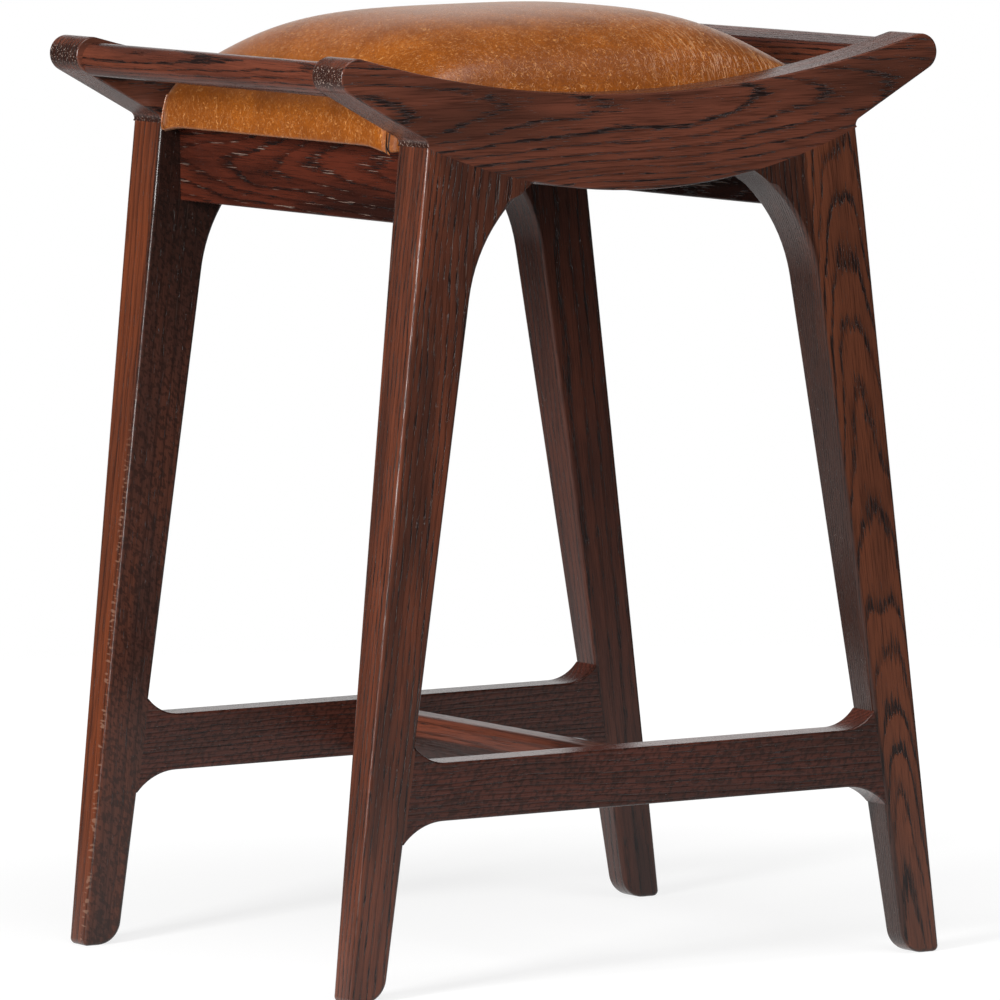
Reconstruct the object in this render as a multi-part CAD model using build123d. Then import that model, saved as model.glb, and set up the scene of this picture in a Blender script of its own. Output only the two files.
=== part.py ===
import os
from math import asin, atan2, ceil, cos, hypot, pi, radians, sin, sqrt

from build123d import *

# Counter stool: two flat oak frames joined by bars and boards, with a domed leather seat between them.
# Millimetres, +Z up, origin on the floor under the middle of the seat, front frame towards -Y.

# Frame outline seen from the front
foot_half_width = 241.2
shoulder_half_width = 173.3
shoulder_height = 591.8
foot_width = 28.6
knee_width = 45.0
knee_drop = 109.8
bracket_radius = 112.0
bracket_turn_degrees = 65.0
foot_inner_round = 18.0
foot_outer_round = 4.0

# Frame seen from the side
frame_half_depth = 209.0
foot_inset = 7.5
rail_thickness = 41.0
foot_thickness = 23.0

# Saddle rails
rail_middle_lift = 26.4
rail_middle_depth = 66.9
tip_reach = 68.0
tip_lift = 59.1
tip_radius = 13.0
shoulder_drop = 4.3
shoulder_round = 5.5

# Stretchers
stretcher_height = 162.8
stretcher_depth = 40.5
ear_reach_top = 25.0
ear_rise_top = 12.0
ear_reach_bottom = 32.0
ear_rise_bottom = 14.6
cross_width = 24.0
cross_depth = 36.0
cross_drop = 4.8

# End bars between the rail tips
bar_reveal = 4.5
bar_top_reveal = 4.0
bar_width = 34.0
bar_height = 24.0
bar_fall = 8.5
bar_outer_round = 11.3
bar_inner_round = 5.0

# Side aprons and corner blocks
apron_drop = 6.4
apron_height = 54.0
apron_thickness = 20.0
apron_inset = 14.7
block_reach = 60.0
block_height = 30.0

# Seat cushion
cushion_overhang = 22.9
cushion_clearance = 0.5
cushion_corner_round = 9.0
cushion_side_height = 33.5
cushion_crown_rise = 51.5
cushion_tuck = 3.0
cushion_tuck_height = 4.0
cover_thickness = 1.3
cover_wrap = 54.0
board_thickness = 12.0
dust_cover_thickness = 0.8
dust_cover_margin = 9.0
dust_cover_clearance = 1.0
layer_gap = 0.3

# Dowels and loose tenons
leg_dowel_radius = 5.0
leg_dowel_length = 52.0
leg_dowel_outset = 12.0
leg_dowel_spacing = 43.0
apron_dowel_radius = 4.0
apron_dowel_length = 34.0
apron_dowel_spacing = 26.0
bar_dowel_radius = 4.0
bar_dowel_length = 40.0
bar_dowel_spacing = 13.5
stretcher_tenon_length = 36.0
stretcher_tenon_height = 24.0
stretcher_tenon_thickness = 9.0
cross_tenon_length = 34.0
cross_tenon_height = 22.0
cross_tenon_thickness = 9.0
dowel_clearance = 0.1
bore_end_clearance = 0.5

# Screws and staples
screw_shank_radius = 2.0
screw_head_radius = 4.0
screw_head_height = 2.6
screw_point_length = 4.0
screw_tip_radius = 0.5
screw_grip = 15.0
screw_bite = 13.0
screw_clearance = 0.1
screw_hole_clearance = 0.4
block_screw_inset = 10.0
block_screw_rise = 8.0
seat_screw_inset = 22.0
seat_screw_seat = 6.0
seat_screw_bite = 9.0
staple_width = 10.0
staple_wire = 0.9
staple_leg = 6.0
staple_clearance = 0.05
staple_pitch = 42.0
staple_edge = 6.0

# One overrun serves every cut
overrun = 5.0

# Shares that shape the seat's crown, and the turns of its rounded corners in degrees
station_shares = (0.0, 0.25, 0.5, 0.65, 0.78, 0.9, 1.0)
crown_power_share = 5.07
crown_fall_share = 1.543
crown_corner_share = 0.7
crown_end_share = 0.06
corner_turns = (60, 30, 0)

# Heights, widths and depths that follow from the sizes above
knee_height = shoulder_height - knee_drop
rail_middle_height = shoulder_height + rail_middle_lift
tip_height = shoulder_height + tip_lift
tip_half_width = shoulder_half_width + tip_reach
uncut_height = tip_height + bracket_radius
foot_half_depth = frame_half_depth - foot_inset
inner_face = frame_half_depth - rail_thickness
frame_middle = frame_half_depth - rail_thickness / 2
apron_top = shoulder_height - apron_drop
apron_bottom = apron_top - apron_height
apron_half_width = shoulder_half_width - apron_inset
apron_middle_x = apron_half_width - apron_thickness / 2
apron_inner_x = apron_half_width - apron_thickness
stretcher_bottom = stretcher_height - stretcher_depth
stretcher_middle = stretcher_height - stretcher_depth / 2
cross_top = stretcher_height - cross_drop
cross_middle = cross_top - cross_depth / 2
cushion_half_width = apron_half_width + cushion_overhang
cushion_half_depth = inner_face - cushion_clearance
cushion_bottom = apron_top
board_bottom = cushion_bottom + cover_thickness
board_top = board_bottom + board_thickness
cushion_shoulder = cushion_bottom + cushion_side_height
block_bottom = apron_top - block_height


def outer_x(z):
    """Outer edge of a leg at height z."""
    return foot_half_width + (shoulder_half_width - foot_half_width) * z / shoulder_height


def inner_x(z):
    """Straight inner edge of a leg at height z."""
    return outer_x(z) - foot_width - (knee_width - foot_width) * z / knee_height


def slab_face_y(z, top, foot):
    """Height z on a face that is flat above the apron's lower edge and leans to the foot below it."""
    share = min(z / apron_bottom, 1.0)
    return foot + (top - foot) * share


def outer_face_y(z):
    return slab_face_y(z, frame_half_depth, foot_half_depth)


def inner_face_y(z):
    return slab_face_y(z, inner_face, foot_half_depth - foot_thickness)


def mirrored_x(shape):
    return mirror(shape, about=Plane.YZ)


def mirrored_y(shape):
    return mirror(shape, about=Plane.XZ)


def both_sides(shapes):
    """The shapes and their mirror images in X."""
    return list(shapes) + [mirrored_x(shape) for shape in shapes]


def all_corners(shapes):
    """The shapes at the right rear corner, repeated at the other three."""
    pair = both_sides(shapes)
    return pair + [mirrored_y(shape) for shape in pair]


def group(shapes):
    """Separate solids that share one node."""
    return Compound(children=[solid for shape in shapes for solid in shape.solids()])


def frame_slab():
    """The space between the two faces of the rear frame, tapered down to the feet."""
    top = tip_height + overrun
    outline = Polyline(
        (frame_half_depth, top),
        (frame_half_depth, apron_bottom),
        (foot_half_depth, 0),
        (foot_half_depth - foot_thickness, 0),
        (inner_face, apron_bottom),
        (inner_face, top),
        close=True,
    )
    return extrude(Plane.YZ * make_face(outline), amount=foot_half_width + tip_half_width, both=True)


def in_rear_frame(face):
    """A front-view outline as a solid between the two faces of the rear frame."""
    return extrude(Plane.XZ * face, amount=frame_half_depth + overrun, both=True) & frame_slab()


# Saddle rails

tip_centre_x = tip_half_width - tip_radius
tip_centre_z = tip_height - tip_radius
tip_rise = tip_centre_z - rail_middle_height
rail_top_radius = (tip_centre_x**2 + tip_rise**2 - tip_radius**2) / (2 * (tip_rise + tip_radius))


def tip_top_point():
    """Where the rail's hollow top runs into the round tip."""
    share = rail_top_radius / (rail_top_radius + tip_radius)
    arc_centre_z = rail_middle_height + rail_top_radius
    return (tip_centre_x * share, arc_centre_z + (tip_centre_z - arc_centre_z) * share)


def tip_under_point():
    """Where the slanted end of the underside runs into the round tip."""
    reach_x = tip_centre_x - shoulder_half_width
    reach_z = tip_centre_z - shoulder_height
    slant = atan2(reach_z, reach_x) - asin(tip_radius / hypot(reach_x, reach_z))
    return (tip_centre_x + tip_radius * sin(slant), tip_centre_z - tip_radius * cos(slant))


def rail_outline():
    """Crescent with a hollow top, a bowed underside and round upswept tips."""
    top = tip_top_point()
    under = tip_under_point()
    joint_z = shoulder_height - shoulder_drop
    joint = (outer_x(joint_z), joint_z)
    shoulder = (shoulder_half_width, shoulder_height)
    slant = atan2(under[1] - shoulder[1], under[0] - shoulder[0])
    tip_angle = (slant - pi / 2 + atan2(top[1] - tip_centre_z, top[0] - tip_centre_x)) / 2
    nose = (tip_centre_x + tip_radius * cos(tip_angle), tip_centre_z + tip_radius * sin(tip_angle))

    def other(point):
        return (-point[0], point[1])

    edges = [
        ThreePointArc(other(top), (0, rail_middle_height), top),
        ThreePointArc(top, nose, under),
        Line(under, shoulder),
        Line(shoulder, joint),
        ThreePointArc(joint, (0, rail_middle_height - rail_middle_depth), other(joint)),
        Line(other(joint), other(shoulder)),
        Line(other(shoulder), other(under)),
        ThreePointArc(other(under), other(nose), other(top)),
    ]
    face = make_face(edges)
    shoulders = [v for v in face.vertices() if abs(v.Y - shoulder_height) < shoulder_drop / 2]
    shoulders = [v for v in shoulders if abs(abs(v.X) - shoulder_half_width) < shoulder_drop / 2]
    return fillet(shoulders, shoulder_round)


def saddle_rail():
    return in_rear_frame(rail_outline())


# Legs


def leg_outline():
    """Right leg: straight outside, tapered inside, with a curved bracket that widens to the rail."""
    lean = atan2(inner_x(0) - inner_x(knee_height), knee_height)
    centre = (
        inner_x(knee_height) - bracket_radius * cos(lean),
        knee_height - bracket_radius * sin(lean),
    )
    top_turn = radians(bracket_turn_degrees)
    middle_turn = (lean + top_turn) / 2

    def on_bracket(turn):
        return (centre[0] + bracket_radius * cos(turn), centre[1] + bracket_radius * sin(turn))

    edges = [
        Line((inner_x(0), 0), (foot_half_width, 0)),
        Line((foot_half_width, 0), (outer_x(uncut_height), uncut_height)),
        Line((outer_x(uncut_height), uncut_height), (on_bracket(top_turn)[0], uncut_height)),
        Line((on_bracket(top_turn)[0], uncut_height), on_bracket(top_turn)),
        ThreePointArc(on_bracket(top_turn), on_bracket(middle_turn), on_bracket(lean)),
        Line(on_bracket(lean), (inner_x(0), 0)),
    ]
    face = make_face(edges)
    on_floor = face.vertices().group_by(Axis.Y)[0].sort_by(Axis.X)
    face = fillet(on_floor[0], foot_inner_round)
    return fillet(face.vertices().group_by(Axis.Y)[0].sort_by(Axis.X)[-1], foot_outer_round)


def above_glue_line():
    """Everything above the bowed underside that the rail rests on its legs with."""
    joint_z = shoulder_height - shoulder_drop
    joint_x = outer_x(joint_z)
    edges = [
        ThreePointArc((joint_x, joint_z), (0, rail_middle_height - rail_middle_depth), (-joint_x, joint_z)),
        Line((-joint_x, joint_z), (-joint_x, uncut_height)),
        Line((-joint_x, uncut_height), (joint_x, uncut_height)),
        Line((joint_x, uncut_height), (joint_x, joint_z)),
    ]
    return extrude(Plane.XZ * make_face(edges), amount=frame_half_depth + overrun, both=True)


def leg():
    """The rear right leg, cut to the bowed underside of its rail."""
    return in_rear_frame(leg_outline()) - above_glue_line()


# Stretchers


def stretcher_outline():
    """Board between the legs whose four corners flare into small coved ears."""
    ear_top = stretcher_height + ear_rise_top
    ear_bottom = stretcher_bottom - ear_rise_bottom
    flat_top = inner_x(ear_top) - ear_reach_top
    flat_bottom = inner_x(ear_bottom) - ear_reach_bottom
    right = [
        TangentArc((flat_top, stretcher_height), (inner_x(ear_top), ear_top), tangent=(1, 0)),
        Line((inner_x(ear_top), ear_top), (inner_x(ear_bottom), ear_bottom)),
        TangentArc((flat_bottom, stretcher_bottom), (inner_x(ear_bottom), ear_bottom), tangent=(1, 0)),
    ]
    left = [mirror(edge, about=Plane.YZ) for edge in right]
    flats = [
        Line((-flat_top, stretcher_height), (flat_top, stretcher_height)),
        Line((-flat_bottom, stretcher_bottom), (flat_bottom, stretcher_bottom)),
    ]
    return make_face(right + left + flats)


def stretcher():
    return in_rear_frame(stretcher_outline())


def cross_stretcher():
    """Bar that ties the two stretchers together, cut to their leaning inner faces."""
    bar = Pos(0, 0, cross_middle) * Box(cross_width, 2 * frame_half_depth, cross_depth)
    outline = Polyline(
        (inner_face_y(0), 0),
        (inner_face, apron_bottom),
        (-inner_face, apron_bottom),
        (-inner_face_y(0), 0),
        close=True,
    )
    room = extrude(Plane.YZ * make_face(outline), amount=cross_width, both=True)
    return bar & room


# End bars and aprons

bar_outer_x = tip_half_width - bar_reveal
bar_inner_x = bar_outer_x - bar_width
bar_top_z = tip_height - bar_top_reveal
bar_bottom_z = bar_top_z - bar_height
bar_middle_z = bar_bottom_z + bar_height / 2


def end_bar():
    """Right end bar: round outside, with a top that falls towards the seat like the rails."""
    outer_top = bar_top_z + bar_fall * bar_outer_round / bar_width
    outline = Polyline(
        (bar_outer_x, bar_bottom_z),
        (bar_outer_x, outer_top),
        (bar_inner_x, outer_top - bar_fall),
        (bar_inner_x, bar_bottom_z),
        close=True,
    )
    face = make_face(outline)
    outer = face.vertices().group_by(Axis.X)[-1]
    face = fillet(outer, bar_outer_round)
    face = fillet(face.vertices().group_by(Axis.X)[0], bar_inner_round)
    return extrude(Plane.XZ * face, amount=inner_face, both=True)


def apron():
    middle_z = apron_bottom + apron_height / 2
    return Pos(apron_middle_x, 0, middle_z) * Box(apron_thickness, 2 * inner_face, apron_height)


def corner_block():
    """Triangular glue block in the rear right corner under the seat board."""
    outline = Polyline(
        (apron_inner_x, inner_face),
        (apron_inner_x - block_reach, inner_face),
        (apron_inner_x, inner_face - block_reach),
        close=True,
    )
    return Pos(0, 0, block_bottom) * extrude(make_face(outline), amount=block_height)


# Dowels and loose tenons


def dowel(radius, length, clearance, end_clearance):
    """Upright dowel about its own middle, grown by its clearances where it is used as a bore."""
    return Cylinder(radius + clearance, length + 2 * end_clearance)


def tenon(length, height, thickness, clearance, end_clearance):
    """Loose tenon with round edges, along X, grown by its clearances where it is used as a mortise."""
    slot = SlotOverall(height + 2 * clearance, thickness + 2 * clearance, rotation=90)
    return extrude(Plane.YZ * slot, amount=length / 2 + end_clearance, both=True)


def joint_height(x):
    """Height of the rail's bowed underside at x."""
    joint_z = shoulder_height - shoulder_drop
    rise = joint_z - (rail_middle_height - rail_middle_depth)
    radius = (outer_x(joint_z) ** 2 + rise**2) / (2 * rise)
    return rail_middle_height - rail_middle_depth + radius - sqrt(radius**2 - x**2)


def leg_dowels(clearance=0, end_clearance=0):
    """Two dowels through the glue line between the rear right leg and its rail."""
    outer_dowel_x = shoulder_half_width - leg_dowel_outset
    peg = dowel(leg_dowel_radius, leg_dowel_length, clearance, end_clearance)
    inner_dowel_x = outer_dowel_x - leg_dowel_spacing
    return [Pos(x, frame_middle, joint_height(x)) * peg for x in (outer_dowel_x, inner_dowel_x)]


def apron_dowels(clearance=0, end_clearance=0):
    peg = Rot(90, 0, 0) * dowel(apron_dowel_radius, apron_dowel_length, clearance, end_clearance)
    middle_z = apron_bottom + apron_height / 2
    places = [Pos(apron_middle_x, inner_face, middle_z + side * apron_dowel_spacing / 2) for side in (-1, 1)]
    return [place * peg for place in places]


def end_bar_dowels(clearance=0, end_clearance=0):
    peg = Rot(90, 0, 0) * dowel(bar_dowel_radius, bar_dowel_length, clearance, end_clearance)
    middle_x = bar_inner_x + bar_width / 2
    places = [Pos(middle_x + side * bar_dowel_spacing / 2, inner_face, bar_middle_z) for side in (-1, 1)]
    return [place * peg for place in places]


def stretcher_tenon(clearance=0, end_clearance=0):
    middle_y = (outer_face_y(stretcher_middle) + inner_face_y(stretcher_middle)) / 2
    place = Pos(inner_x(stretcher_middle), middle_y, stretcher_middle)
    return place * tenon(
        stretcher_tenon_length, stretcher_tenon_height, stretcher_tenon_thickness, clearance, end_clearance
    )


def cross_tenon(clearance=0, end_clearance=0):
    place = Pos(0, inner_face_y(cross_middle), cross_middle) * Rot(0, 0, 90)
    return place * tenon(
        cross_tenon_length, cross_tenon_height, cross_tenon_thickness, clearance, end_clearance
    )


# Screws and staples


def screw(grip, bite):
    """Countersunk screw that points up, with the underside of its head at the origin."""
    shank_length = grip + bite - screw_point_length
    head = Pos(0, 0, screw_head_height / 2) * Cone(screw_head_radius, screw_shank_radius, screw_head_height)
    shank = Pos(0, 0, shank_length / 2) * Cylinder(screw_shank_radius, shank_length)
    point = Cone(screw_shank_radius, screw_tip_radius, screw_point_length)
    return head + shank + Pos(0, 0, shank_length + screw_point_length / 2) * point


def screw_hole(grip, reach):
    """Clearance hole with a wide mouth that the screw's head goes in through."""
    hole = Pos(0, 0, grip / 2) * Cylinder(screw_shank_radius + screw_hole_clearance, grip + 2 * overrun)
    sink = Pos(0, 0, screw_head_height / 2) * Cone(
        screw_head_radius + screw_clearance, screw_shank_radius + screw_hole_clearance, screw_head_height
    )
    mouth = Pos(0, 0, -reach / 2) * Cylinder(screw_head_radius + screw_clearance, reach)
    return hole + sink + mouth


def screw_pilot(grip, bite):
    """The bore that the screw's thread fills past its grip."""
    length = bite + bore_end_clearance
    return Pos(0, 0, grip + length / 2) * Cylinder(screw_shank_radius + screw_clearance, length)


def block_screw_places():
    """One screw of a block points out into the apron, the other back into the frame."""
    low_z = block_bottom + block_screw_rise
    high_z = apron_top - block_screw_rise
    to_apron = Pos(apron_inner_x - screw_grip, inner_face - block_screw_inset, low_z) * Rot(0, 90, 0)
    to_frame = Pos(apron_inner_x - block_screw_inset, inner_face - screw_grip, high_z) * Rot(-90, 0, 0)
    return [to_apron, to_frame]


def seat_screw_place():
    head_z = block_bottom + seat_screw_seat
    return Pos(apron_inner_x - seat_screw_inset, inner_face - seat_screw_inset, head_z)


seat_screw_grip = board_bottom - block_bottom - seat_screw_seat


# Seat


def crown_share(share):
    """Height of the crown at a share of the cushion's half length, 1 in the middle and 0 at the end."""
    return (1 - share**crown_power_share) ** crown_fall_share


def cushion_section(x, half_depth, bottom, shoulder, rise, tuck, tuck_height):
    """Cross-section of the cushion: flat base, tucked corners, straight sides and a crown of three arcs."""
    corner = rise * crown_corner_share
    corner_y = half_depth - corner
    top_radius = (corner_y**2 + rise**2 - corner**2) / (2 * (rise - corner))
    top_centre = shoulder + rise - top_radius
    reach = top_radius / (top_radius - corner)
    meet_y = corner_y * reach
    meet_z = top_centre + (shoulder - top_centre) * reach
    turn = atan2(meet_z - shoulder, meet_y - corner_y) / 2
    bend = (corner_y + corner * cos(turn), shoulder + corner * sin(turn))

    def other(point):
        return (-point[0], point[1])

    meet = (meet_y, meet_z)
    side = (half_depth, shoulder)
    low = (half_depth, bottom + tuck_height)
    base = (half_depth - tuck, bottom)
    edges = [
        Line(other(base), base),
        Line(base, low),
        Line(low, side),
        ThreePointArc(side, bend, meet),
        ThreePointArc(meet, (0, shoulder + rise), other(meet)),
        ThreePointArc(other(meet), other(bend), other(side)),
        Line(other(side), other(low)),
        Line(other(low), other(base)),
    ]
    return Plane.YZ.offset(x) * make_face(edges)


def cushion_body(inset, bottom):
    """Domed cushion, drawn in by the inset all round and cut off at the bottom."""
    half_width = cushion_half_width - inset
    half_depth = cushion_half_depth - inset
    corner = cushion_corner_round - inset
    shoulder = cushion_shoulder - inset

    def section(x, narrow, drop):
        rise = cushion_crown_rise * max(crown_share(abs(x) / half_width), crown_end_share)
        return cushion_section(
            x, half_depth - narrow, bottom, shoulder - drop, rise, cushion_tuck, cushion_tuck_height
        )

    crown_x = [share * (half_width - corner) for share in station_shares]
    crown = loft([section(x, 0, 0) for x in [-x for x in reversed(crown_x[1:])] + crown_x])
    end_sections = [section(crown_x[-1], 0, 0)]
    for turn in corner_turns:
        narrow = corner * (1 - sin(radians(turn)))
        end_sections.append(section(crown_x[-1] + corner * cos(radians(turn)), narrow, narrow / 2))
    end = loft(end_sections, ruled=True)
    return crown + end + mirrored_x(end)


def seat_board():
    """Plywood board that the foam and the cover are stretched over."""
    inset = cover_thickness + layer_gap + cushion_tuck
    width = 2 * (cushion_half_width - inset)
    depth = 2 * (cushion_half_depth - inset)
    board = extrude(RectangleRounded(width, depth, cushion_corner_round), amount=board_thickness)
    return Pos(0, 0, board_bottom) * board


def foam_pad():
    body = cushion_body(cover_thickness + layer_gap, board_bottom)
    block = Pos(0, 0, board_top + cushion_crown_rise) * Box(
        2 * cushion_half_width, 2 * cushion_half_depth, 2 * cushion_crown_rise
    )
    return body & block


def leather_cover():
    """Leather skin pulled over the foam, down the sides and a hand's width under the board."""
    shell = cushion_body(0, cushion_bottom) - cushion_body(cover_thickness, board_bottom)
    opening = Box(2 * (cushion_half_width - cover_wrap), 2 * (cushion_half_depth - cover_wrap), overrun)
    return shell - Pos(0, 0, board_bottom - overrun / 2) * opening


def dust_cover():
    """Thin black cloth over the raw edge of the leather, cut away at the corner blocks."""
    half_width = cushion_half_width - cover_wrap + dust_cover_margin
    half_depth = cushion_half_depth - cover_wrap + dust_cover_margin
    spare = apron_inner_x - half_width + inner_face - half_depth
    cut_corner = block_reach - spare + dust_cover_clearance
    face = Rectangle(2 * half_width, 2 * half_depth)
    face = chamfer(face.vertices(), cut_corner)
    return Pos(0, 0, cushion_bottom - dust_cover_thickness) * extrude(face, amount=dust_cover_thickness)


def staple_legs(clearance=0, end_clearance=0):
    """Both legs of a staple along X, grown by the clearances where they are used as holes."""
    width = staple_wire + 2 * clearance
    leg_x = (staple_width - staple_wire) / 2
    upright = Pos(0, 0, staple_leg / 2) * Box(width, width, staple_leg + 2 * end_clearance)
    return [Pos(side * leg_x, 0, 0) * upright for side in (-1, 1)]


def staple():
    """Staple along X, with its crown under the origin."""
    crown = Pos(0, 0, -staple_wire / 2) * Box(staple_width, staple_wire, staple_wire)
    left, right = staple_legs()
    return crown + left + right


def staple_row(half_length, offset, turn):
    """Places of the staples along one inner edge of the cover's wrap, in line with that edge."""
    count = ceil(2 * half_length / staple_pitch)
    pitch = 2 * half_length / count
    height = cushion_bottom - dust_cover_thickness
    along = [-half_length + pitch * (index + 1 / 2) for index in range(count)]
    return [Rot(0, 0, turn) * Pos(x, offset, height) for x in along]


def staple_places():
    half_width = cushion_half_width - cover_wrap + staple_edge
    half_depth = cushion_half_depth - cover_wrap + staple_edge
    places = []
    for turn in (0, 180):
        places += staple_row(half_width - staple_width, half_depth, turn)
        places += staple_row(half_depth - staple_width, half_width, turn + 90)
    return places


# Pieces of the rear right quarter with their bores

bores = (dowel_clearance, bore_end_clearance)
apron_pilot, frame_pilot = [place * screw_pilot(screw_grip, screw_bite) for place in block_screw_places()]
seat_pilot = seat_screw_place() * screw_pilot(seat_screw_grip, seat_screw_bite)


def both_ends(shapes):
    """The shapes and their mirror images in Y."""
    return list(shapes) + [mirrored_y(shape) for shape in shapes]


rear_leg = leg() - (leg_dowels(*bores) + apron_dowels(*bores) + [stretcher_tenon(*bores), frame_pilot])
rear_rail = saddle_rail() - both_sides(leg_dowels(*bores) + end_bar_dowels(*bores) + [frame_pilot])
rear_stretcher = stretcher() - (both_sides([stretcher_tenon(*bores)]) + [cross_tenon(*bores)])
cross_bar = cross_stretcher() - both_ends([cross_tenon(*bores)])
side_bar = end_bar() - both_ends(end_bar_dowels(*bores))
side_apron = apron() - both_ends(apron_dowels(*bores) + [apron_pilot])
block_holes = [place * screw_hole(screw_grip, block_reach) for place in block_screw_places()]
seat_hole = seat_screw_place() * screw_hole(seat_screw_grip, seat_screw_seat + overrun)
block = corner_block() - (block_holes + [seat_hole])
staple_leg_holes = staple_legs(staple_clearance, bore_end_clearance)
staple_holes = [place * hole for place in staple_places() for hole in staple_leg_holes]
board = seat_board() - (all_corners([seat_pilot]) + staple_holes)
cover = leather_cover() - (all_corners([seat_hole]) + staple_holes)
lining = dust_cover() - staple_holes
block_screws = [place * screw(screw_grip, screw_bite) for place in block_screw_places()]
seat_screw = seat_screw_place() * screw(seat_screw_grip, seat_screw_bite)

nodes = {
    "back_saddle_rail": rear_rail,
    "front_saddle_rail": mirrored_y(rear_rail),
    "back_right_leg": rear_leg,
    "back_left_leg": mirrored_x(rear_leg),
    "front_right_leg": mirrored_y(rear_leg),
    "front_left_leg": mirrored_x(mirrored_y(rear_leg)),
    "back_stretcher": rear_stretcher,
    "front_stretcher": mirrored_y(rear_stretcher),
    "cross_stretcher": cross_bar,
    "right_end_bar": side_bar,
    "left_end_bar": mirrored_x(side_bar),
    "right_apron": side_apron,
    "left_apron": mirrored_x(side_apron),
    "back_right_corner_block": block,
    "back_left_corner_block": mirrored_x(block),
    "front_right_corner_block": mirrored_y(block),
    "front_left_corner_block": mirrored_x(mirrored_y(block)),
    "seat_board": board,
    "foam_pad": foam_pad(),
    "leather_cover": cover,
    "dust_cover": lining,
    "leg_dowels": group(all_corners(leg_dowels())),
    "apron_dowels": group(all_corners(apron_dowels())),
    "end_bar_dowels": group(all_corners(end_bar_dowels())),
    "stretcher_tenons": group(all_corners([stretcher_tenon()])),
    "cross_stretcher_tenons": group(both_ends([cross_tenon()])),
    "corner_block_screws": group(all_corners(block_screws)),
    "seat_screws": group(all_corners([seat_screw])),
    "cover_staples": group([place * staple() for place in staple_places()]),
}

os.makedirs("parts", exist_ok=True)
for name, shape in nodes.items():
    export_step(shape, f"parts/{name}.step")
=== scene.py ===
from math import radians

import bmesh
import bpy
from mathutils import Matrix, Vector


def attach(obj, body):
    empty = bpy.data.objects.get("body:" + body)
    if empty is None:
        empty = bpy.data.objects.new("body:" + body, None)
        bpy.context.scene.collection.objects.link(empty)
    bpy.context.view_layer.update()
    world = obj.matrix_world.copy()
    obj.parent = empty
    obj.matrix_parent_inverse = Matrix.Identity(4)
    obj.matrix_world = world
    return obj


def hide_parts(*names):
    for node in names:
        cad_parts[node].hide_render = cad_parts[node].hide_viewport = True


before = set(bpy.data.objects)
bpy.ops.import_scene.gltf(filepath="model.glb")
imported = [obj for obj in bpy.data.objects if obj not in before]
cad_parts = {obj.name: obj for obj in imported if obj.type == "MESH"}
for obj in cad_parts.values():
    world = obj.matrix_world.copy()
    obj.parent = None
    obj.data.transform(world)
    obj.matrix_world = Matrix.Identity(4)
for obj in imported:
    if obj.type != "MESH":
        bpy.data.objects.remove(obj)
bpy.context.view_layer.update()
scene = bpy.context.scene


# Camera
# A long lens a good eight metres off, a little above the middle of the stool and turned to its front left,
# so that the front frame is seen almost square on and its left legs a little from the side.

bpy.ops.object.camera_add(
    location=(-4.20438, -7.12348, 1.09742),
    rotation=(radians(84.6296), radians(0.7268), radians(-30.6383)),
)
camera = bpy.context.object
camera.name = "studio_camera"
camera.data.sensor_width = 36.0
camera.data.lens = 421.44
scene.camera = camera
scene.view_settings.view_transform = "Standard"


# Paper floor and backdrop
# The stool stands on seamless white paper that runs up into a white wall. The paper keeps soft shadows round
# the feet and is plain white further out. The wall is only the colour that the world shows to the eye.


def plug(value, socket):
    """Puts a link or a plain value on a socket."""
    if isinstance(value, Link):
        value.tree.links.new(value.socket, socket)
    else:
        socket.default_value = value


class Link:
    """One output of a shader node, wrapped so that shader maths reads as Python."""

    def __init__(self, tree, socket):
        self.tree = tree
        self.socket = socket

    def node(self, kind, inputs=None, output=0, **settings):
        """Adds a node: its settings first, then numbers or links on its inputs, and gives one output."""
        made = self.tree.nodes.new("ShaderNode" + kind)
        stops = settings.pop("stops", None)
        for key, value in settings.items():
            setattr(made, key, value)
        if stops:
            ramp = made.color_ramp
            while len(ramp.elements) < len(stops):
                ramp.elements.new(0.5)
            for element, (position, grey) in zip(ramp.elements, stops):
                element.position = position
                element.color = (grey, grey, grey, 1.0)
        for key, value in (inputs or {}).items():
            plug(value, made.inputs[key])
        return Link(self.tree, made.outputs[output])

    def maths(self, operation, *values):
        return self.node("Math", dict(enumerate(values)), operation=operation)

    def __add__(self, other):
        return self.maths("ADD", self, other)

    def __sub__(self, other):
        return self.maths("SUBTRACT", self, other)

    def __mul__(self, other):
        return self.maths("MULTIPLY", self, other)

    def __truediv__(self, other):
        return self.maths("DIVIDE", self, other)

    def __rsub__(self, other):
        return self.maths("SUBTRACT", other, self)

    __radd__ = __add__
    __rmul__ = __mul__

    def step(self, low, high):
        """0 below low, 1 above high, smooth between."""
        return self.node(
            "MapRange", {"Value": self, "From Min": low, "From Max": high}, interpolation_type="SMOOTHSTEP"
        )

    def beside(self, output):
        """Another output of the same node."""
        return Link(self.tree, self.socket.node.outputs[output])

    def axes(self):
        made = self.node("SeparateXYZ", {0: self})
        return [made.beside(axis) for axis in "XYZ"]

    def join(self, x, y, z):
        return self.node("CombineXYZ", {"X": x, "Y": y, "Z": z})

    def noise(self, scale, detail=2.0, output="Fac", **inputs):
        values = {"Vector": self, "Scale": scale, "Detail": detail, **inputs}
        return self.node("TexNoise", values, output=output)

    def blend(self, first, second):
        """Colour mix of first and second, with this value as its factor."""
        inputs = {0: self, 6: first, 7: second}
        return self.node("Mix", inputs, output=2, data_type="RGBA", clamp_factor=True)

    def in_millimetres(self, turn=(0.0, 0.0, 0.0)):
        """This place on the piece in millimetres, turned to the axes of its board."""
        return self.node("Mapping", {"Vector": self, "Rotation": turn, "Scale": (1000, 1000, 1000)})


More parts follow.
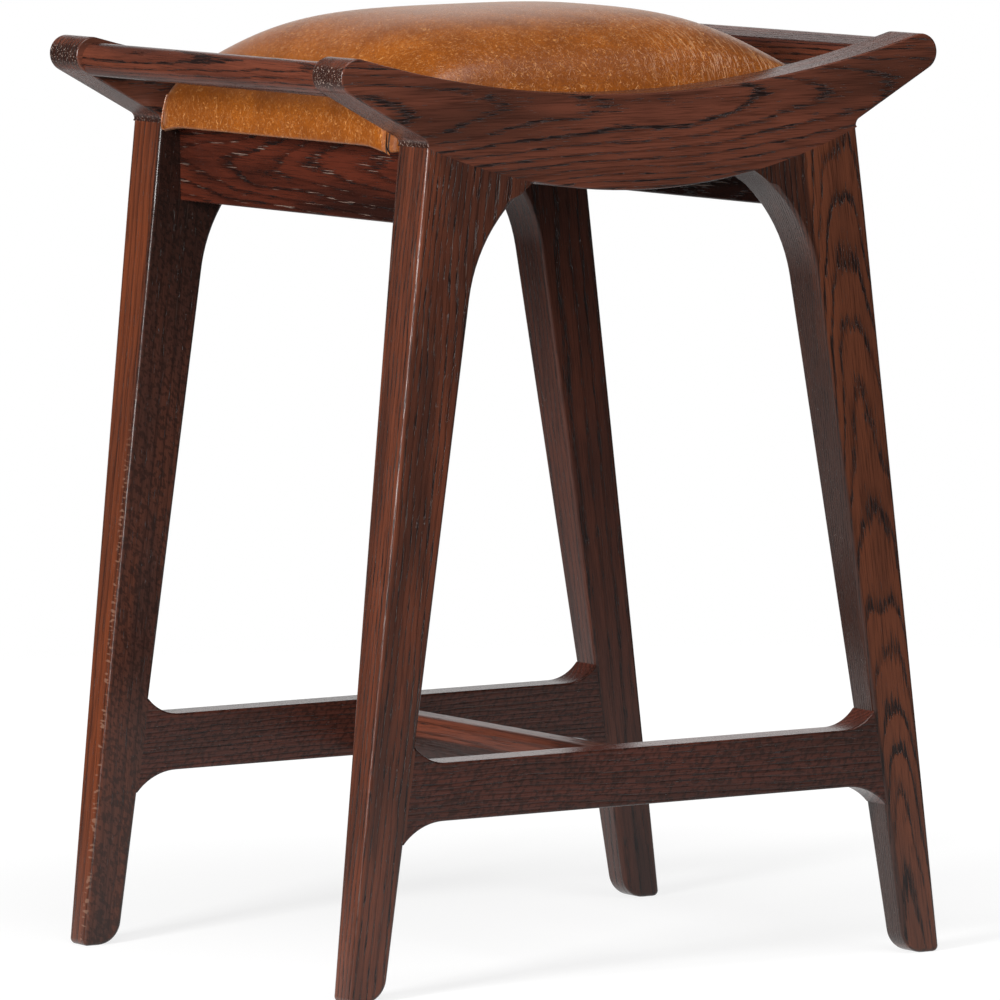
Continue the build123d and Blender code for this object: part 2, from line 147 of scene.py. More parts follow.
def colour(red, green, blue):
    """Paint values of 0 to 255, as read off a swatch, made linear."""
    shares = [value / 255 for value in (red, green, blue)]
    return tuple(v / 12.92 if v <= 0.04045 else ((v + 0.055) / 1.055) ** 2.4 for v in shares) + (1.0,)


def finish_of(name):
    """A new material with its surface shader, and the place on the piece to hang a pattern on."""
    made = bpy.data.materials.new(name)
    made.use_nodes = True
    surface = made.node_tree.nodes["Principled BSDF"]
    place = made.node_tree.nodes.new("ShaderNodeTexCoord")
    return made, surface, Link(made.node_tree, place.outputs["Object"])


def feed(surface, **inputs):
    """Numbers and links on the surface shader's sockets, named with _ for the blanks."""
    for key, value in inputs.items():
        plug(value, surface.inputs[key.replace("_", " ")])


def select_only(piece):
    bpy.ops.object.select_all(action="DESELECT")
    piece.select_set(True)
    bpy.context.view_layer.objects.active = piece


paper_radius = 2.0
shadow_fades = (0.45, 1.0)
mirror_fades = (0.6, 1.3)
shown_white = 1.06
near_mirrored = 0.68

bpy.ops.object.select_all(action="DESELECT")
bpy.ops.mesh.primitive_circle_add(vertices=96, radius=paper_radius, fill_type="NGON", location=(0, 0, 0))
floor = bpy.context.object
floor.name = "paper_floor"
paper, surface, place = finish_of("white_paper")
feed(surface, Roughness=0.9, Specular_IOR_Level=0.1)
x, y = place.axes()[:2]
out = place.maths("SQRT", x * x + y * y)
far = out.step(*shadow_fades)
watched = place.node("LightPath", output="Is Camera Ray")
mirrored = watched.beside("Is Glossy Ray") + watched.beside("Is Transmission Ray")
feed(surface, Base_Color=watched.blend(colour(168, 168, 168), colour(255, 255, 255)))
seen = watched * (0.76 + 0.24 * far)
seen = seen + mirrored * (near_mirrored - near_mirrored * out.step(*mirror_fades))
glow = place.node("Emission", {"Color": (1, 1, 1, 1), "Strength": shown_white})
lit = Link(place.tree, surface.outputs[0])
shown = place.node("MixShader", {0: seen, 1: lit, 2: glow})
plug(shown, place.tree.nodes["Material Output"].inputs["Surface"])
floor.data.materials.append(paper)

world = bpy.data.worlds.new("white_studio")
scene.world = world
world.use_nodes = True
tree = world.node_tree
tree.nodes.clear()
seen = Link(tree, tree.nodes.new("ShaderNodeLightPath").outputs["Is Camera Ray"])
mirrored = seen.beside("Is Glossy Ray") + seen.beside("Is Transmission Ray")
x, y, z = seen.node("TexCoord", output="Generated").axes()
# A bright patch low on the wall behind the stool, which its satin faces mirror.
behind = (0.5 * x + 0.87 * y).step(0.72, 0.98) * (1 - z.step(0.2, 0.4))
strength = seen + mirrored * (0.02 + 0.93 * behind) + (1 - seen - mirrored) * (0.14 + 0.45 * behind)
sky = seen.node("Background", {"Color": (1, 1, 1, 1), "Strength": strength})
plug(sky, tree.nodes.new("ShaderNodeOutputWorld").inputs["Surface"])


# Studio lamps
# A soft box high on the left, a narrow one low beside it that draws a bright line down the front left
# arrises, and a wide one over the seat.

for name, place, aim, width, height, power in (
    ("left_soft_box", (-3.0, -1.4, 1.6), (0, 0, 0.4), 0.7, 0.9, 108.0),
    ("low_strip_box", (-2.9, -0.95, 0.75), (0, 0, 0.4), 0.3, 0.7, 30.0),
    ("top_soft_box", (-0.2, -1.0, 2.6), (0, 0, 0.4), 1.6, 1.6, 40.0),
):
    bpy.ops.object.light_add(type="AREA", location=place)
    lamp = bpy.context.object
    lamp.name = name
    lamp.data.energy = power
    lamp.data.shape = "RECTANGLE"
    lamp.data.size = width
    lamp.data.size_y = height
    lamp.rotation_euler = (Vector(aim) - Vector(place)).to_track_quat("-Z", "Y").to_euler()


# Saddle rails
# Each frame's top is a crescent sawn from one oak board, stained dark and lacquered to a satin. Its growth
# rings show as tongues on the face, its open pores stay dark, and its edges are eased by hand.

ease = 0.0014
eased_from = radians(32)
along_x = (0.0, 0.0, 0.0)


def oak(
    name,
    turn,
    pith,
    slope,
    ring,
    pale,
    deep,
    seed=0.0,
    painted_shade_face=None,
    rays=None,
    glints=0.15,
    gloss=0.2,
    strokes=1.0,
):
    """Stained oak. The board's own axes are u along the grain and v, w across it, in millimetres.
    The rings are rounds about a pith line at (v, w), which slopes against the board. Each starts with a
    band of open pores, which the stain turns almost black. A painted shade face is the plane where its sum
    of u, v and w with an offset is zero: the wood on it is painted darker as shade, with how dark it is at
    the foot and at the top. Rays mottle that face and, by this share, tick the wood beside it."""
    made, surface, place = finish_of(name)
    wander = 11
    early_wood = 0.18
    stained_line = tuple(0.35 * part for part in deep[:3]) + (1,)
    u, v, w = place.in_millimetres(turn).axes()
    drift = place.join(u * 0.006 + seed, v * 0.02, w * 0.02).noise(1.0, 2.0, "Color").axes()
    across = v - pith[0] + u * slope[0] + (drift[0] - 0.5) * wander
    up = w - pith[1] + u * slope[1] + (drift[1] - 0.5) * wander
    ragged = place.join(u * 0.045 + seed, v, w).noise(0.8, 3.0)
    rings = place.maths("SQRT", across * across + up * up) / ring + (ragged - 0.5) * 0.6
    share = place.maths("FRACT", rings)
    whole = place.maths("FLOOR", rings)
    each = whole.node("TexWhiteNoise", {"W": whole + seed}, noise_dimensions="1D")
    across_ring = (
        (0.0, 0.6),
        (0.4 * early_wood, 1.0),
        (early_wood, 0.85),
        (1.8 * early_wood, 0.25),
        (3.0 * early_wood, 0.0),
        (0.96, 0.0),
        (1.0, 0.6),
    )
    porous = share.node("ValToRGB", {"Fac": share}, stops=across_ring) * (0.6 + 0.4 * each)
    dashes = place.join(u * 0.055 + seed, v, w).noise(1.25, 2.0, Roughness=0.55)
    dashed = (dashes - (0.69 - 0.29 * strokes * porous)).step(0.0, 0.05)
    # Painted glints: pale flecks in the pore bands stand in for light caught on the pores.
    painted_glints = place.join(u * 0.02 + seed, v, w).noise(1.2, 2.0)
    painted_glints = (painted_glints - (0.75 - 0.19 * porous)).step(0.0, 0.09) * glints
    hair = place.join(u * 0.03 + seed, v, w).noise(1.15, 4.0)
    cloud = place.join(u * 0.007 + seed, v * 0.06, w * 0.06).noise(1.0, 3.0)
    shade = cloud.step(0.3, 0.72)
    # Painted shade: the wood on the painted shade face is painted darker, from the foot share to the top
    # share.
    if painted_shade_face:
        by_u, by_v, by_w, offset, low_share, top_share = painted_shade_face
        depth = u * by_u + v * by_v + w * by_w + offset
        rise = low_share + (top_share - low_share) * u.step(150, 560)
        shade = shade * 0.45 + (1 - depth.step(0.8, 4)) * rise
    wood = shade.blend(pale, deep)
    wood = (hair.step(0.44, 0.78) * 0.7).blend(wood, stained_line)
    wood = (porous * 0.7).blend(wood, stained_line)
    wood = (dashed * 0.9).blend(wood, colour(20, 13, 13))
    if rays is not None:
        figure = place.join(u * 0.3 - w * 0.15 + seed, v * 0.2, w * 0.3).noise(1.0, 3.0)
        on_face = 1 - depth.step(1, 3)
        wood = (figure.step(0.46, 0.6) * on_face * 0.6).blend(wood, colour(30, 18, 14))
        # Painted shade: the top of that face, under the seat, is painted near black.
        wood = (u.step(380, 540) * on_face * 0.7).blend(wood, colour(22, 13, 11))
        ticks = place.join(u * 0.5 + seed, v * 0.12, w * 0.12).noise(1.0, 0.0)
        near = depth.step(0.5, 2.5) * (1 - depth.step(5, 9)) * (1 - u.step(280, 380))
        wood = ((ticks - 0.6).step(0.0, 0.08) * near * rays).blend(wood, colour(160, 126, 106))
    # The painted glints are laid on as pale flecks.
    wood = (painted_glints * 0.8).blend(wood, colour(128, 108, 98))
    facing = place.beside("Normal")
    along = facing.node("Mapping", {"Vector": facing, "Rotation": turn}).axes()[0]
    end_grain = place.maths("ABSOLUTE", along).step(0.72, 0.92)
    end_grain_glints = place.node("VectorMath", {0: place, 1: (900, 900, 900)}, operation="MULTIPLY").noise(1.0, 1.0)
    wood = (end_grain * 0.75).blend(wood, colour(34, 20, 17))
    # Painted glints: pale specks on the end grain stand in for light caught in its open pores.
    wood = (end_grain * (end_grain_glints - 0.63).step(0.0, 0.06)).blend(wood, colour(172, 152, 140))
    height = hair * 0.4 - dashed - porous * 0.2
    bump = place.node("Bump", {"Strength": 0.7, "Distance": 0.0004, "Height": height})
    feed(
        surface,
        Base_Color=wood,
        Roughness=gloss + 0.1 * dashed + 0.08 * hair,
        Normal=bump,
        Specular_IOR_Level=0.4,
    )
    return made


def eased_copy(node, material, crisp=lambda p: False, cuts=(), width=ease):
    """The sawn piece with its free edges rounded to this width. Edges on a glue line stay crisp, and each
    cut, a point and a normal, first parts long edges where a crisp stretch ends."""
    piece = bpy.data.objects.new(node + "_eased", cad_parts[node].data.copy())
    scene.collection.objects.link(piece)
    select_only(piece)
    bpy.ops.object.mode_set(mode="EDIT")
    bpy.ops.mesh.select_all(action="SELECT")
    bpy.ops.mesh.remove_doubles(threshold=0.000004)
    bpy.ops.mesh.dissolve_limited(angle_limit=radians(0.25))
    for point, normal in cuts:
        bpy.ops.mesh.select_all(action="SELECT")
        bpy.ops.mesh.bisect(plane_co=point, plane_no=normal)
    bpy.ops.mesh.select_all(action="DESELECT")
    mesh = bmesh.from_edit_mesh(piece.data)
    for edge in mesh.edges:
        if len(edge.link_faces) == 2 and edge.calc_face_angle(0.0) > eased_from:
            edge.select_set(not all(crisp(corner.co) for corner in edge.verts))
    bmesh.update_edit_mesh(piece.data)
    bpy.ops.mesh.bevel(offset=width, segments=3, profile=0.5, clamp_overlap=False)
    bpy.ops.object.mode_set(mode="OBJECT")
    bpy.ops.object.shade_smooth_by_angle(angle=radians(30))
    piece.modifiers.new("even_shading", "WEIGHTED_NORMAL").keep_sharp = True
    bpy.ops.object.modifier_apply(modifier="even_shading")
    piece.data.materials.clear()
    piece.data.materials.append(material)
    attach(piece, "root")
    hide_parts(node)
    return piece


pale_brown = colour(109, 61, 46)
deep_brown = colour(75, 43, 33)
rail_inner_y, rail_outer_y = 0.168, 0.209
within = 0.0005
glue_x = 0.0893
glue_top = 0.5885


def at_rail_glue(p):
    """On the bowed underside where a leg is glued, or in a bore."""
    on_glue = p.z < glue_top and abs(p.x) > glue_x - 0.0001
    return on_glue or rail_inner_y + within < abs(p.y) < rail_outer_y - within


front_rail_oak = oak(
    "front_rail_oak", along_x, (-269.6, 612), (0.04, 0.0), 3.1, pale_brown, deep_brown, seed=3.1
)
back_rail_oak = oak(
    "back_rail_oak", along_x, (280, 640), (0.05, 0.02), 5.4, pale_brown, deep_brown, seed=7.4
)
glue_cuts = (((glue_x, 0, 0), (1, 0, 0)), ((-glue_x, 0, 0), (1, 0, 0)))
eased_copy("front_saddle_rail", front_rail_oak, at_rail_glue, glue_cuts)
eased_copy("back_saddle_rail", back_rail_oak, at_rail_glue, glue_cuts)


# Legs
# Four tapered legs of the same oak, sawn so that the grain runs down them, each glued and dowelled under a
# rail and widened there by a curved bracket.

lean = radians(6.55)
right_leg = (0.0, radians(90) + lean, 0.0)
left_leg = (0.0, radians(90) - lean, 0.0)
ear_low, ear_high, ear_reach = 0.1077, 0.1748, 0.02
glue_slack = 0.001
foot_half_width = 0.2412
leg_top, leg_lean_in = 0.5918, 0.0679
leg_ease = 0.003
joint_low, joint_inner, shoulder_low = 0.548, 0.0885, 0.5865
near_edge = 0.0006


def outer_x(z):
    """Half the width of a frame at this height, over the outer edges of its legs."""
    return foot_half_width - leg_lean_in * z / leg_top


def at_leg_glue(p):
    """On the joint with the rail, beside the end of a stretcher, in a bore, or where the apron butts."""
    by_rail = p.z > joint_low and abs(p.x) > joint_inner and not on_outer_edge(p)
    inner = abs(p.x) < outer_x(p.z) - ear_reach
    return by_rail or inner and ear_low - glue_slack < p.z < ear_high + glue_slack


def on_outer_edge(p):
    """On the outer edge below the shoulder, which is free."""
    return abs(abs(p.x) - outer_x(p.z)) < near_edge and p.z < shoulder_low


leg_cuts = [((0, 0, height), (0, 0, 1)) for height in (ear_low, ear_high)]
# The front right leg's inner face and the back left leg's front face are painted darker as shade, the back
# one more towards its top.
for node, turn, figure in (
    (
        "front_left_leg",
        left_leg,
        dict(
            pith=(-275, 150), slope=(0.012, 0.016), ring=3.5,
            pale=colour(104, 56, 39), deep=colour(68, 39, 30), seed=1.3, glints=0.5,
        ),
    ),
    (
        "front_right_leg",
        right_leg,
        dict(
            pith=(-235, -221), slope=(0.06, 0.0), ring=2.5,
            pale=colour(110, 61, 41), deep=colour(56, 33, 26), seed=5.2,
            painted_shade_face=(0.0356, 0, -1, -211, 0.9, 0.8), glints=0.1, strokes=1.05,
        ),
    ),
    (
        "back_left_leg",
        left_leg,
        dict(
            pith=(120, 160), slope=(0.01, 0.01), ring=5.6,
            pale=colour(116, 59, 35), deep=colour(70, 42, 34), seed=8.8,
            painted_shade_face=(0.0172, 1, 0, -177.6, 0.6, 1.0), rays=0.4, glints=0.1, strokes=0.2,
        ),
    ),
    (
        "back_right_leg",
        right_leg,
        dict(
            pith=(250, -170), slope=(0.02, 0.01), ring=5.6,
            pale=colour(86, 47, 35), deep=colour(62, 35, 28), seed=11.6, glints=0.1, strokes=0.8,
        ),
    ),
):
    eased_copy(node, oak(node + "_oak", turn, **figure), at_leg_glue, leg_cuts, leg_ease)


# Stretchers
# An oak board ties each pair of legs low down, its corners flared into small coves where they meet the legs.
# One narrow bar ties the two boards. All three are held by loose tenons.

along_y = (0.0, 0.0, radians(-90))
middle_cut = (((0, 0, 0), (0, 1, 0)),)
bore_bottom_y = 0.14
cross_ease = 0.005
foot_width, knee_width, knee_height = 0.0286, 0.045, 0.482


def at_stretcher_end(p):
    """On the glued end, flush with the leg, which widens from its foot to the knee."""
    leg_width = foot_width + (knee_width - foot_width) * p.z / knee_height
    return abs(p.x) > outer_x(p.z) - leg_width - near_edge


def near_frame(p):
    """On a glued end between the frames, or in a bore there."""
    return abs(p.y) > bore_bottom_y


# Each board's front face is painted darker than its top, as shade.
for node, pith, slope, seed, front_painted_shade in (
    ("front_stretcher", (-150, 240), (0.01, 0.015), 2.2, (0, 1, 0.0123, 201.7, 0.3, 0.3)),
    ("back_stretcher", (140, 230), (0.012, -0.01), 6.1, (0, 1, 0.0172, -178.2, 0.3, 0.3)),
):
    board_oak = oak(
        node + "_oak", along_x, pith, slope, 3.6, colour(94, 49, 39), colour(54, 32, 26),
        seed=seed, painted_shade_face=front_painted_shade, rays=0.0, strokes=0.4,
    )
    eased_copy(node, board_oak, at_stretcher_end)

# Painted shade: the lower part of the bar is painted darker than its top.
cross_oak = oak(
    "cross_stretcher_oak", along_y, (40, 120), (0.05, 0.03), 6.0, colour(114, 61, 44), colour(52, 30, 25),
    seed=4.4, painted_shade_face=(0, 0, 1, -141, 0.75, 0.75), rays=0.0, gloss=0.26, strokes=0.5,
)
eased_copy("cross_stretcher", cross_oak, near_frame, middle_cut, cross_ease)


# End bars and aprons
# A round-nosed oak bar joins the rail tips at each end and serves as a grip, and a plain oak board closes the
# frame under each end of the seat. Both are dowelled.

for side, seed in (("left", 0.7), ("right", 9.3)):
    bar_oak = oak(
        side + "_end_bar_oak", along_y, (-10, 420), (0.012, 0.012), 3.4,
        colour(106, 56, 40), colour(70, 38, 30), seed,
    )
    eased_copy(side + "_end_bar", bar_oak, near_frame, middle_cut)
    apron_oak = oak(
        side + "_apron_oak", along_y, (115, 566), (0.05, 0.04), 3.0,
        colour(86, 38, 25), colour(42, 20, 15), seed + 4, glints=1.4, strokes=0.7,
    )
    eased_copy(side + "_apron", apron_oak, near_frame, middle_cut)


# Leather seat
# One hide of waxed leather, pulled down over the edges of the foam pad and stapled under its board. It is
# domed and tight on top, and its corners are folded like a parcel's.

half_width, half_depth = 0.1815, 0.1675
band_bottom, band_top = 0.5854, 0.6176
crown, crown_half_depth = 0.0515, 0.1668
long_curve, short_curve = (5.07, 1.543), (3.05, 0.527)
corner_round = 0.017
corner_reach = 0.034
rim_share, rim_dip = 0.045, 0.0055
corner_dip, corner_pull = 0.006, 0.018
leather_thickness = 0.0014
most_puff = 0.003
wrap_start, side_start = 0.16, 0.8


def bulge(share, shoulder, drop):
    """1 in the middle and 0 at the edges, at share 1 and -1, with a power for each end of the curve."""
    return max(0.0, 1 - min(1.0, abs(share)) ** shoulder) ** drop


def crown_height(x, y):
    """How far the pad stands above its band, fitted to the outline that it shows."""
    return crown * bulge(x / half_width, *long_curve) * bulge(y / crown_half_depth, *short_curve)


def rounded_plan(s, t, inset=0.0):
    """Point at shares s and t of the seat, from -1 to 1, on a plan whose corners are rounded."""
    a, b = half_width - inset, half_depth - inset
    reach = max(abs(s), abs(t))
    if reach < 1e-9:
        return 0.0, 0.0
    x, y = s / reach * a, t / reach * b
    over_x, over_y = abs(x) - (a - corner_round), abs(y) - (b - corner_round)
    if over_x > 0 and over_y > 0:
        pull = corner_round / (over_x**2 + over_y**2) ** 0.5
        x = (a - corner_round + over_x * pull) * (1 if x > 0 else -1)
        y = (b - corner_round + over_y * pull) * (1 if y > 0 else -1)
    return x * reach, y * reach


def near_corner(x, y):
    """1 at a corner of the seat, falling to 0 at its reach."""
    far = ((half_width - abs(x)) ** 2 + (half_depth - abs(y)) ** 2) ** 0.5
    share = max(0.0, 1 - far / corner_reach)
    return share * share * (3 - 2 * share)


def turn_outward(piece):
    """Makes every face of the piece look outward, and shades it smooth."""
    select_only(piece)
    bpy.ops.object.mode_set(mode="EDIT")
    bpy.ops.mesh.select_all(action="SELECT")
    bpy.ops.mesh.normals_make_consistent(inside=False)
    bpy.ops.object.mode_set(mode="OBJECT")
    bpy.ops.object.shade_smooth()


def made_of(name, verts, faces):
    """A new piece from its corners and faces."""
    mesh = bpy.data.meshes.new(name)
    mesh.from_pydata(verts, [], faces)
    piece = bpy.data.objects.new(name, mesh)
    scene.collection.objects.link(piece)
    turn_outward(piece)
    return piece


def seat_skin(name, inset, top_drop, low, turn_in, droop=0.0):
    """The pad's skin as one closed sheet: crown, rounded edge, band and turned-in underside. It lies within
    the hide by an inset and a drop, hangs down to low, and droops at the corners."""
    columns, rows, band_rows = 46, 43, 6
    verts, faces, index = [], [], {}
    for i in range(columns + 1):
        for j in range(rows + 1):
            s, t = 2 * i / columns - 1, 2 * j / rows - 1
            x, y = rounded_plan(s, t, inset)
            fold = near_corner(x, y)
            over_rim = max(0.0, (max(abs(s), abs(t)) - 1 + rim_share) / rim_share)
            edge = rim_dip * over_rim**2 + corner_dip * fold
            index[i, j] = len(verts)
            pull = 1 - corner_pull * fold
            verts.append((x * pull, y * pull, band_top - top_drop - edge + crown_height(x, y)))
    for i in range(columns):
        for j in range(rows):
            faces.append((index[i, j], index[i + 1, j], index[i + 1, j + 1], index[i, j + 1]))
    rim = [(i, 0) for i in range(columns)] + [(columns, j) for j in range(rows)]
    rim += [(i, rows) for i in range(columns, 0, -1)] + [(0, j) for j in range(rows, 0, -1)]
    ring = [index[place] for place in rim]
    down = [(k / band_rows, 0.0, 0.0014) for k in range(1, band_rows + 1)]
    down += [(1.0, 0.0012, 0.0005), (1.0, 0.004, 0.0), (1.0, 0.011, 0.0), (1.0, turn_in, 0.0)]
    for depth, move_in, rise in down:
        new_ring = []
        for i, j in rim:
            x, y = rounded_plan(2 * i / columns - 1, 2 * j / rows - 1, inset + move_in)
            fold = near_corner(x, y)
            top = band_top - top_drop - rim_dip - corner_dip * fold
            foot = low + rise - (droop * fold if move_in < 0.01 else 0.0)
            pull = 1 - corner_pull * fold * (1 - depth) ** 2
            new_ring.append(len(verts))
            verts.append((x * pull, y * pull, top + (foot - top) * depth))
        for k in range(len(ring)):
            after = (k + 1) % len(ring)
            faces.append((ring[k], new_ring[k], new_ring[after], ring[after]))
        ring = new_ring
    faces.append(tuple(ring))
    return made_of(name, verts, faces)


def press_out(piece, held, most):
    """Blows the skin up like a stuffed cover. No point moves by more than most."""
    before = [corner.co.copy() for corner in piece.data.vertices]
    group = piece.vertex_groups.new(name="held")
    for corner in piece.data.vertices:
        group.add([corner.index], held(corner.co), "REPLACE")
    select_only(piece)
    stuffed = piece.modifiers.new("stuffed", "CLOTH")
    stuffed.settings.quality = 4
    stuffed.settings.mass = 0.3
    stuffed.settings.tension_stiffness = 30
    stuffed.settings.compression_stiffness = 12
    stuffed.settings.shear_stiffness = 8
    stuffed.settings.bending_stiffness = 2
    stuffed.settings.use_pressure = True
    stuffed.settings.uniform_pressure_force = 4.0
    stuffed.settings.effector_weights.gravity = 0.0
    stuffed.settings.vertex_group_mass = "held"
    stuffed.collision_settings.use_collision = False
    last_frame = 20
    stuffed.point_cache.frame_start = 1
    stuffed.point_cache.frame_end = last_frame
    for step in range(1, last_frame + 1):
        scene.frame_set(step)
    bpy.ops.object.modifier_apply(modifier="stuffed")
    scene.frame_set(1)
    for corner, start in zip(piece.data.vertices, before):
        move = corner.co - start
        if move.length > most:
            corner.co = start + move * (most / move.length)
    piece.vertex_groups.clear()


def held_share(p):
    """The underside is stapled, the band is held by it, and the crown is free."""
    return 1.0 if p.z < band_bottom + 0.003 else 0.25 if p.z < band_top - 0.01 else 0.04


def corner_fold(name, left, front, wrap, free_edge, foot):
    """A corner fold laid on the skin. The back one comes round from the back on to the side. The front one
    runs along the side and ends just before the corner. Its free edge stands a little off the skin."""
    verts, faces = [], []
    low, high = band_bottom - 0.002, band_top - 0.009
    across, upward = 14, 9
    for row in range(upward + 1):
        for column in range(across + 1):
            share = column / across
            end = free_edge + foot * max(0.0, 1 - row / 1.6)
            if wrap:
                at_back, at_side = max(0.0, 1 - 2 * share), max(0.0, 2 * share - 1)
                s, t = 1 - wrap_start * at_back, 1 - (1 - end) * at_side
                lift, hang = 0.0011 - 0.0012 * at_back, 0.0
            else:
                s, t = 1.0, side_start + (end - side_start) * share
                lift, hang = 0.0019 * share - 0.0009, 0.0065 * share * share - 0.0028
            height = low - hang + (high - low + hang) * row / upward
            x, y = rounded_plan(s, t)
            spot = Vector((x * left, y * front, max(height, band_bottom + 0.002)))
            on_skin, way = leather_seat.closest_point_on_mesh(spot)[1:3]
            lift -= 0.0012 * (row / upward) ** 3
            verts.append((on_skin.x + way.x * lift, on_skin.y + way.y * lift, height))
    for row in range(upward):
        for column in range(across):
            start = row * (across + 1) + column
            faces.append((start, start + 1, start + across + 2, start + across + 1))
    fold = made_of(name, verts, faces)
    thick = fold.modifiers.new("thick", "SOLIDIFY")
    thick.thickness = leather_thickness
    thick.offset = 0.0
    bpy.ops.object.modifier_apply(modifier="thick")
    soft = fold.modifiers.new("soft", "SUBSURF")
    soft.levels = soft.render_levels = 2
    bpy.ops.object.modifier_apply(modifier="soft")
    turn_outward(fold)
    return fold


leather_seat = seat_skin("leather_seat", 0.001, -0.0004, band_bottom, 0.054, 0.005)
press_out(leather_seat, held_share, most_puff)
finer = leather_seat.modifiers.new("finer", "SUBSURF")
finer.levels = finer.render_levels = 2
select_only(leather_seat)
bpy.ops.object.modifier_apply(modifier="finer")
folds = [
    corner_fold(name, left, front, *plan)
    for left in (-1, 1)
    for name, front, *plan in (
        ("front_fold", -1, False, 0.966, 0.034),
        ("back_fold", 1, True, 0.97, -0.084),
    )
]
select_only(leather_seat)
for fold in folds:
    fold.select_set(True)
bpy.ops.object.join()
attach(leather_seat, "root")
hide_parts("leather_cover")

fold_line, fold_top, side_of_band = 159.8, 609, 171
top_edge = 616
hide, surface, place = finish_of("cognac_leather")
scaled = place.in_millimetres()
x, y, z = scaled.axes()
drift = scaled.noise(0.06, 3.0, "Color")
warped = scaled.node("VectorMath", {0: drift, 1: (12, 12, 12), 2: scaled}, operation="MULTIPLY_ADD")
mottle = scaled.noise(0.03, 3.0)
speckle = warped.noise(0.6, 4.0)
vein = place.maths("ABSOLUTE", warped.noise(0.17, 1.0) - 0.5)
fine_vein = place.maths("ABSOLUTE", warped.noise(0.38, 1.0) - 0.52)
vein_line = (1 - vein.step(0.006, 0.024)) * scaled.noise(0.3, 2.0).step(0.48, 0.6)
fine_line = (1 - fine_vein.step(0.01, 0.04)) * scaled.noise(0.22, 2.0).step(0.44, 0.6)
creased = place.join(x * 0.7, y * 0.06, z * 0.1).noise(1.0, 3.0).step(0.52, 0.66)
creased = creased * x.step(0, 90) * (1 - y.step(-110, 10)) * z.step(top_edge, top_edge + 16)
tan = mottle.step(0.3, 0.72).blend(colour(132, 68, 12), colour(156, 84, 17))
tan = (speckle.step(0.4, 0.64) * 0.5).blend(tan, colour(108, 52, 9))
tan = (vein_line * 0.5).blend(tan, colour(230, 162, 92))
tan = (fine_line * 0.34).blend(tan, colour(220, 148, 76))
# Pale creases at the front right of the crown: the leather's own lightening in its creases, and partly a
# painted sheen.
tan = (creased * 0.4).blend(tan, colour(222, 168, 120))
# Painted shade: the front of the crown, where it curves down behind the front rail, is painted darker.
tan = ((1 - y.step(-160, -110)) * (z - top_edge).step(0, 12) * 0.25).blend(tan, colour(84, 38, 10))
# Painted shade in the groove before the free edge of a front corner fold: a thin dark line, with a rougher
# zone round it.
off_line = place.maths("ABSOLUTE", place.maths("ABSOLUTE", y) - fold_line)
at_side = (place.maths("ABSOLUTE", x) - side_of_band).step(0.0, 1.0)
beside = at_side * (y * -1).step(0.0, 1.0) * (fold_top - z).step(0.0, 6.0)
worn = beside * (1 - off_line.step(1.5, 4.5))
# Painted shade: the thin dark line in that groove.
tan = (beside * (1 - off_line.step(0.2, 0.9)) * 0.95).blend(tan, colour(30, 12, 6))
pebble = warped.node("TexVoronoi", {"Vector": warped, "Scale": 0.9}, "Distance")
height = speckle * 0.5 - vein_line * 0.8 - fine_line * 0.5 + pebble * 0.5 - creased * 0.8
bump = place.node("Bump", {"Strength": 0.45, "Distance": 0.0004, "Height": height})
feed(
    surface,
    Base_Color=tan,
    Roughness=0.25 + 0.12 * speckle + 0.6 * worn,
    Normal=bump,
    Specular_IOR_Level=0.66,
    Sheen_Weight=0.12,
    Sheen_Roughness=0.35,
    Sheen_Tint=colour(255, 236, 214),
)
leather_seat.data.materials.append(hide)


# Foam pad
# The cream upholstery foam that fills the hide and lies on the seat board. It is a padded piece of its own, a
# little inside the leather, and never shows.

foam = seat_skin("foam_filling", 0.011, 0.006, 0.5995, 0.01)
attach(foam, "root")
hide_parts("foam_pad")

pad_foam, surface, place = finish_of("cream_foam")
cells = place.node("TexVoronoi", {"Vector": place, "Scale": 900.0}, "Distance")
feed(
    surface,
    Base_Color=cells.step(0.0, 0.9).blend(colour(236, 226, 196), colour(206, 192, 156)),
    Roughness=0.95,
    Normal=place.node("Bump", {"Strength": 0.5, "Distance": 0.0005, "Height": cells}),
)
foam.data.materials.append(pad_foam)


# Seat board
# A birch plywood board that carries the pad. The leather and the dust cover are stapled to its underside, and
# it is held by screws from below.


def dress(node, material):
    """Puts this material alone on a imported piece."""
    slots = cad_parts[node].data.materials
    slots.clear()
    slots.append(material)


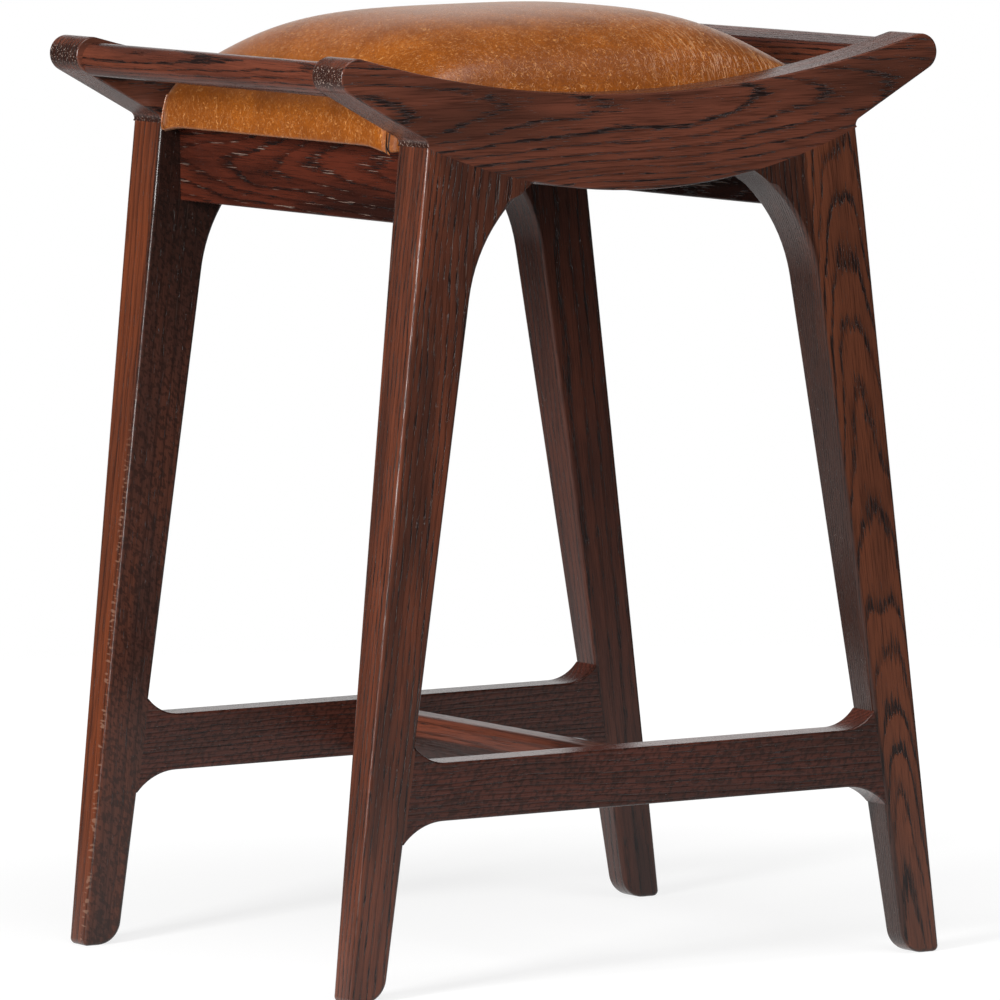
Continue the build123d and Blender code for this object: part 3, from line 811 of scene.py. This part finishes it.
board_bottom, ply_thickness = 586.7, 1.5
plywood, surface, place = finish_of("birch_plywood")
u, v, w = place.in_millimetres().axes()
ply = place.maths("PINGPONG", w - board_bottom, ply_thickness) / ply_thickness
streak = place.join(u * 0.03, v, w).noise(0.5, 3.0)
pale = streak.blend(colour(214, 180, 130), colour(184, 146, 98))
feed(
    surface,
    Base_Color=(ply.step(0.4, 0.6) * 0.3).blend(pale, colour(140, 100, 62)),
    Roughness=0.55 + 0.2 * streak,
    Normal=place.node("Bump", {"Strength": 0.3, "Distance": 0.0002, "Height": streak}),
)
dress("seat_board", plywood)


# Corner blocks
# Four triangular blocks of planed, unstained hardwood, each screwed into a corner between a frame and an
# apron. A screw up through each of them holds the seat.

block_wood = oak(
    "corner_block_wood", along_x, (30, 500), (0.1, 0.05), 4.0,
    colour(158, 114, 76), colour(140, 98, 64), seed=2.9,
)
for corner in ("front_left", "front_right", "back_left", "back_right"):
    dress(corner + "_corner_block", block_wood)


# Dust cover
# A sheet of thin black cloth that hides the raw edges of the leather under the board. It is stapled on along
# its rim.

cloth, surface, place = finish_of("black_lining_cloth")
x, y = place.axes()[:2]
threads = 5200
weave = place.maths("SINE", x * threads) * place.maths("SINE", y * threads)
feed(
    surface,
    Base_Color=weave.step(-0.6, 0.8).blend(colour(20, 20, 22), colour(44, 44, 48)),
    Roughness=0.9,
    Normal=place.node("Bump", {"Strength": 0.4, "Distance": 0.0002, "Height": weave}),
)
dress("dust_cover", cloth)


# Dowels and tenons
# Beech pegs and loose tenons, glued into bores across every joint of the frame. They only show if it is
# taken apart.

beech, surface, place = finish_of("beech_pegs")
fleck = place.in_millimetres().noise(0.9, 3.0)
feed(
    surface,
    Base_Color=fleck.step(0.35, 0.65).blend(colour(206, 166, 122), colour(176, 134, 92)),
    Roughness=0.6 + 0.1 * fleck,
)
for node in ("leg_dowels", "apron_dowels", "end_bar_dowels", "stretcher_tenons", "cross_stretcher_tenons"):
    dress(node, beech)


# Screws and staples
# Zinc-plated countersunk screws that hold the corner blocks and the seat, and wire staples that hold the
# leather and the dust cover to the board.

zinc, surface, place = finish_of("bright_zinc")
smear = place.in_millimetres().noise(1.4, 3.0)
feed(
    surface,
    Base_Color=smear.blend(colour(196, 196, 190), colour(156, 156, 150)),
    Metallic=1.0,
    Roughness=0.28 + 0.2 * smear,
)
for node in ("corner_block_screws", "seat_screws", "cover_staples"):
    dress(node, zinc)
